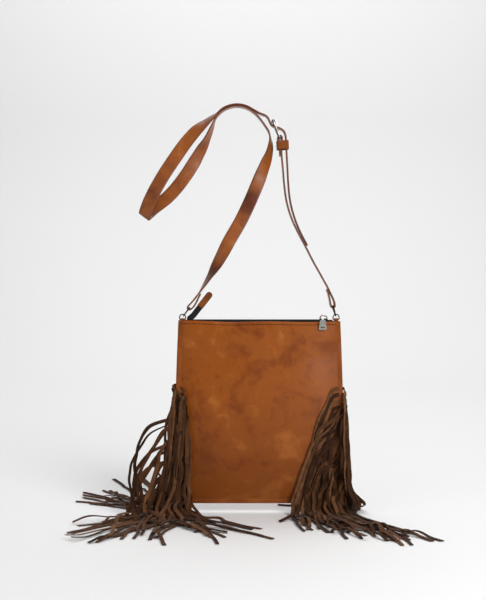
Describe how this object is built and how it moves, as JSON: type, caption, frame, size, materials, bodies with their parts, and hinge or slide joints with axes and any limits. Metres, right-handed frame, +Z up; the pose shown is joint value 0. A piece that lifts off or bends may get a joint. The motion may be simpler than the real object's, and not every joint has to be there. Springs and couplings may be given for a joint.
{
  "type": "fringed leather shoulder bag",
  "caption": "Flat zipped shoulder bag of smooth tan leather hanging by its buckled strap, with long dark suede fringe laced into both side edges.",
  "frame": {"origin": "underside of the strap at the top of its rest, where the bag hangs", "axes": "+X along the zip towards its closed end and the buckle side, -Y out of the back panel, +Z up"},
  "size_m": [0.6234, 0.4402, 0.6255],
  "materials": {
    "body_leather": "smooth waxed, semi-matt",
    "strap_leather": "smooth waxed, semi-matt",
    "fringe_suede": "napped suede, matt",
    "lining_cloth": "plain weave, matt",
    "zip_tape": "woven, matt",
    "dark_metal": "dark plated, semi-bright",
    "bright_metal": "nickel plated, bright"
  },
  "bodies": {
    "strap": {"long_strap": "strap_leather", "buckle_strap": "strap_leather", "link_left": "dark_metal", "link_right": "dark_metal", "buckle_frame": "bright_metal", "d_ring_left": "dark_metal", "d_ring_right": "dark_metal"},
    "pouch": {"back_panel": "body_leather", "front_panel": "body_leather", "lining": "lining_cloth", "zip_tape_back": "zip_tape", "zip_tape_front": "zip_tape", "zip_teeth_back": "dark_metal", "zip_teeth_front": "dark_metal", "zip_end_tab": "strap_leather", "ring_tab_left": "strap_leather", "ring_tab_right": "strap_leather", "lace_left_01": "fringe_suede", "lace_left_02": "fringe_suede", "lace_left_03": "fringe_suede", "lace_left_04": "fringe_suede", "lace_left_05": "fringe_suede", "lace_left_06": "fringe_suede", "lace_left_07": "fringe_suede", "lace_left_08": "fringe_suede", "lace_left_09": "fringe_suede", "lace_left_10": "fringe_suede", "lace_left_11": "fringe_suede", "lace_left_12": "fringe_suede", "lace_left_13": "fringe_suede", "lace_left_14": "fringe_suede", "lace_left_15": "fringe_suede", "lace_left_16": "fringe_suede", "lace_left_17": "fringe_suede", "lace_right_01": "fringe_suede", "lace_right_02": "fringe_suede", "lace_right_03": "fringe_suede", "lace_right_04": "fringe_suede", "lace_right_05": "fringe_suede", "lace_right_06": "fringe_suede", "lace_right_07": "fringe_suede", "lace_right_08": "fringe_suede", "lace_right_09": "fringe_suede", "lace_right_10": "fringe_suede", "lace_right_11": "fringe_suede", "lace_right_12": "fringe_suede", "lace_right_13": "fringe_suede", "lace_right_14": "fringe_suede", "lace_right_15": "fringe_suede", "lace_right_16": "fringe_suede", "lace_right_17": "fringe_suede"},
    "slider": {"zip_slider": "dark_metal"},
    "pull": {"zip_pull": "bright_metal"},
    "roller": {"buckle_roller": "bright_metal"},
    "prong": {"buckle_prong": "bright_metal"},
    "keeper": {"strap_keeper": "strap_leather"}
  },
  "joints": [
    {"name": "bag_swing", "type": "hinge", "parent": "strap", "child": "pouch", "pos_m": [0.034, 0, -0.323], "axis": [1, 0, 0], "range_deg": [-60, 60]},
    {"name": "zip_slide", "type": "slide", "parent": "pouch", "child": "slider", "axis": [-1, 0, 0], "range_m": [0, 0.18], "deforming": ["zip_teeth_back", "zip_teeth_front"]},
    {"name": "zip_pull_flip", "type": "hinge", "parent": "slider", "child": "pull", "pos_m": [0.1302, 0, -0.3172], "axis": [1, 0, 0], "range_deg": [-120, 0]},
    {"name": "roller_spin", "type": "hinge", "parent": "strap", "child": "roller", "pos_m": [0.05467, 0, -0.02176], "axis": [0, 1, 0], "continuous": true},
    {"name": "prong_lift", "type": "hinge", "parent": "strap", "child": "prong", "pos_m": [0.065, 0, -0.0467], "axis": [0, 1, 0], "range_deg": [0, 2.5]},
    {"name": "keeper_slide", "type": "slide", "parent": "strap", "child": "keeper", "axis": [0.0599, 0, -0.9982], "range_m": [0, 0.004]}
  ]
}
